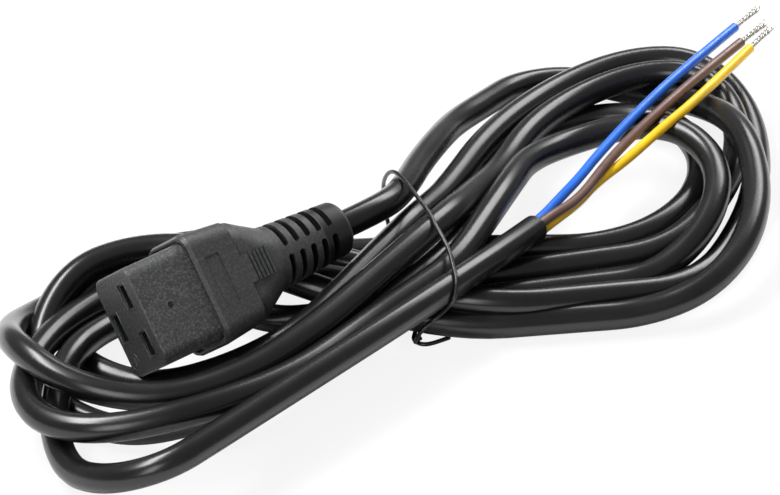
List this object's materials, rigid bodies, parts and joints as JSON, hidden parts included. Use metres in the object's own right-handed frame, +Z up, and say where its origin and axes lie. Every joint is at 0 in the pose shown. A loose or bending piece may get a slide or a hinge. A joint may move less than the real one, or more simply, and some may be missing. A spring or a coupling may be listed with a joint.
{
  "type": "c19 power connector",
  "caption": "Mains lead with a moulded C19 connector, its round black cord stored as a tied figure-of-eight hank, and stripped bare-ended cores at the other end.",
  "frame": {"origin": "centre of the connector's mating face", "axes": "+X from the mating face to the cable along the connector's axis, +Z up from the surface that the hank lies on, +Y to the left of the connector seen from behind it; the connector is rolled 47 degrees about X"},
  "size_m": [0.299, 0.1298, 0.0467],
  "materials": {
    "carrier_plastic": "satin",
    "grip_pvc": "matte",
    "inner_pvc": "matte",
    "contact_brass": "polished",
    "tinned_strands": "polished",
    "brown_pvc": "gloss",
    "blue_pvc": "gloss",
    "yellow_pvc": "gloss",
    "cord_pvc": "gloss",
    "tie_plastic": "gloss"
  },
  "bodies": {
    "root": {"contact_carrier": "carrier_plastic", "line_contact": "contact_brass", "neutral_contact": "contact_brass", "earth_contact": "contact_brass", "line_conductor": "tinned_strands", "neutral_conductor": "tinned_strands", "earth_conductor": "tinned_strands", "line_core": "brown_pvc", "neutral_core": "blue_pvc", "earth_core": "yellow_pvc", "inner_mould": "inner_pvc", "sheath_end": "cord_pvc", "grip_overmould": "grip_pvc", "cord_lead": "cord_pvc", "cord_hank": "cord_pvc", "cord_tail": "cord_pvc", "tie_wire": "tie_plastic", "blue_core_tail": "blue_pvc", "brown_core_tail": "brown_pvc", "yellow_core_tail": "yellow_pvc", "blue_strands": "tinned_strands", "brown_strands": "tinned_strands", "yellow_strands": "tinned_strands"}
  },
  "joints": []
}
